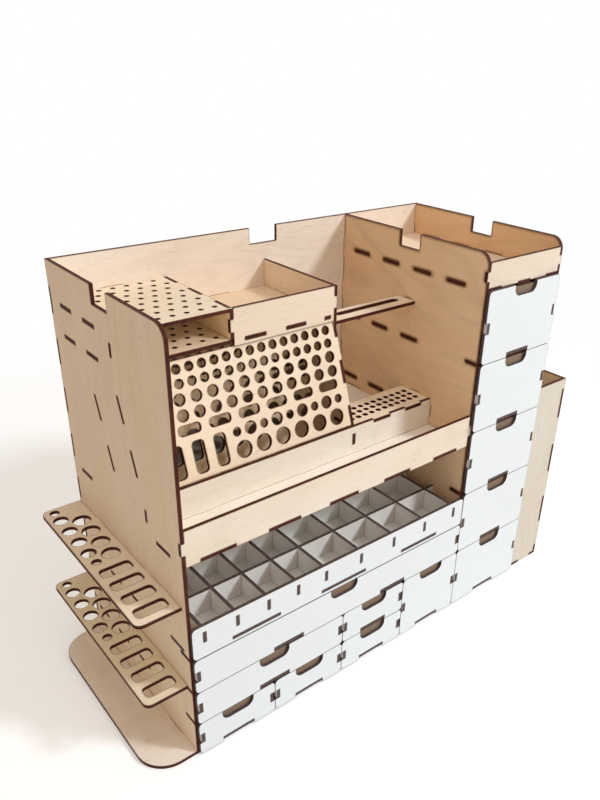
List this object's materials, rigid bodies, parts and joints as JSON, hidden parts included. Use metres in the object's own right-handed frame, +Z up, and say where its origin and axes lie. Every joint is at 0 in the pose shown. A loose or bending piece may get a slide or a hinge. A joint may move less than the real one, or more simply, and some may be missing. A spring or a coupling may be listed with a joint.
{
  "type": "hobby workstation organizer",
  "caption": "Bench organizer of slotted boards with drawers, an open tool tray, sloped perforated rack, bottle cells, side shelves and a side pocket.",
  "frame": {"origin": "centre of the bounding box at the height of the ground, under the base plate", "axes": "+X to the right seen from the drawers' side, +Y to the back, +Z up"},
  "size_m": [0.485, 0.1894, 0.3674],
  "materials": {
    "birch_plywood": "raw birch plywood, pale, with dark brown laser-cut edges",
    "warm_plywood": "raw birch plywood, warmer tan, with dark brown laser-cut edges",
    "white_hardboard": "thin hardboard with a satin white face and dark brown cut edges",
    "brown_hardboard": "plain brown hardboard, matte"
  },
  "bodies": {
    "case": {"base_plate": "birch_plywood", "left_panel": "birch_plywood", "divider_panel": "warm_plywood", "right_panel": "warm_plywood", "back_panel": "birch_plywood", "column_shelves": "birch_plywood", "top_tray_floor": "birch_plywood", "top_tray_front": "birch_plywood", "rack_shelf": "birch_plywood", "mid_shelf": "birch_plywood", "low_shelf_left": "birch_plywood", "low_shelf_centre": "birch_plywood", "small_partition": "birch_plywood", "tall_partitions": "birch_plywood", "bottle_front": "white_hardboard", "bottle_floor": "white_hardboard", "bottle_rails": "white_hardboard", "bottle_walls": "white_hardboard", "tool_floor": "birch_plywood", "tray_lip": "birch_plywood", "riser": "birch_plywood", "drill_plate": "birch_plywood", "rack_front_panel": "birch_plywood", "rack_rear_panel": "birch_plywood", "bay_wall": "birch_plywood", "pliers_rail": "birch_plywood", "tray_board": "birch_plywood", "stick_plate": "birch_plywood", "tray_side_wall": "birch_plywood", "tray_front_wall": "birch_plywood", "upper_side_shelf": "birch_plywood", "lower_side_shelf": "birch_plywood", "holder_front": "birch_plywood", "holder_back": "birch_plywood", "holder_side": "birch_plywood"},
    "column_drawer_1": {"column_drawer_1_front": "white_hardboard", "column_drawer_1_box": "brown_hardboard"},
    "column_drawer_2": {"column_drawer_2_front": "white_hardboard", "column_drawer_2_box": "brown_hardboard"},
    "column_drawer_3": {"column_drawer_3_front": "white_hardboard", "column_drawer_3_box": "brown_hardboard"},
    "column_drawer_4": {"column_drawer_4_front": "white_hardboard", "column_drawer_4_box": "brown_hardboard"},
    "column_drawer_5": {"column_drawer_5_front": "white_hardboard", "column_drawer_5_box": "brown_hardboard"},
    "wide_drawer": {"wide_drawer_front": "white_hardboard", "wide_drawer_box": "brown_hardboard"},
    "medium_drawer": {"medium_drawer_front": "white_hardboard", "medium_drawer_box": "brown_hardboard"},
    "small_drawer_left": {"small_drawer_left_front": "white_hardboard", "small_drawer_left_box": "brown_hardboard"},
    "small_drawer_right": {"small_drawer_right_front": "white_hardboard", "small_drawer_right_box": "brown_hardboard"},
    "centre_drawer_upper": {"centre_drawer_upper_front": "white_hardboard", "centre_drawer_upper_box": "brown_hardboard"},
    "centre_drawer_lower": {"centre_drawer_lower_front": "white_hardboard", "centre_drawer_lower_box": "brown_hardboard"},
    "tall_drawer": {"tall_drawer_front": "white_hardboard", "tall_drawer_box": "brown_hardboard"}
  },
  "joints": [
    {"name": "column_drawer_1_slide", "type": "slide", "parent": "case", "child": "column_drawer_1", "axis": [0, -1, 0], "range_m": [0, 0.14]},
    {"name": "column_drawer_2_slide", "type": "slide", "parent": "case", "child": "column_drawer_2", "axis": [0, -1, 0], "range_m": [0, 0.14]},
    {"name": "column_drawer_3_slide", "type": "slide", "parent": "case", "child": "column_drawer_3", "axis": [0, -1, 0], "range_m": [0, 0.14]},
    {"name": "column_drawer_4_slide", "type": "slide", "parent": "case", "child": "column_drawer_4", "axis": [0, -1, 0], "range_m": [0, 0.14]},
    {"name": "column_drawer_5_slide", "type": "slide", "parent": "case", "child": "column_drawer_5", "axis": [0, -1, 0], "range_m": [0, 0.14]},
    {"name": "wide_drawer_slide", "type": "slide", "parent": "case", "child": "wide_drawer", "axis": [0, -1, 0], "range_m": [0, 0.14]},
    {"name": "medium_drawer_slide", "type": "slide", "parent": "case", "child": "medium_drawer", "axis": [0, -1, 0], "range_m": [0, 0.14]},
    {"name": "small_drawer_left_slide", "type": "slide", "parent": "case", "child": "small_drawer_left", "axis": [0, -1, 0], "range_m": [0, 0.14]},
    {"name": "small_drawer_right_slide", "type": "slide", "parent": "case", "child": "small_drawer_right", "axis": [0, -1, 0], "range_m": [0, 0.14]},
    {"name": "centre_drawer_upper_slide", "type": "slide", "parent": "case", "child": "centre_drawer_upper", "axis": [0, -1, 0], "range_m": [0, 0.14]},
    {"name": "centre_drawer_lower_slide", "type": "slide", "parent": "case", "child": "centre_drawer_lower", "axis": [0, -1, 0], "range_m": [0, 0.14]},
    {"name": "tall_drawer_slide", "type": "slide", "parent": "case", "child": "tall_drawer", "axis": [0, -1, 0], "range_m": [0, 0.14]}
  ]
}
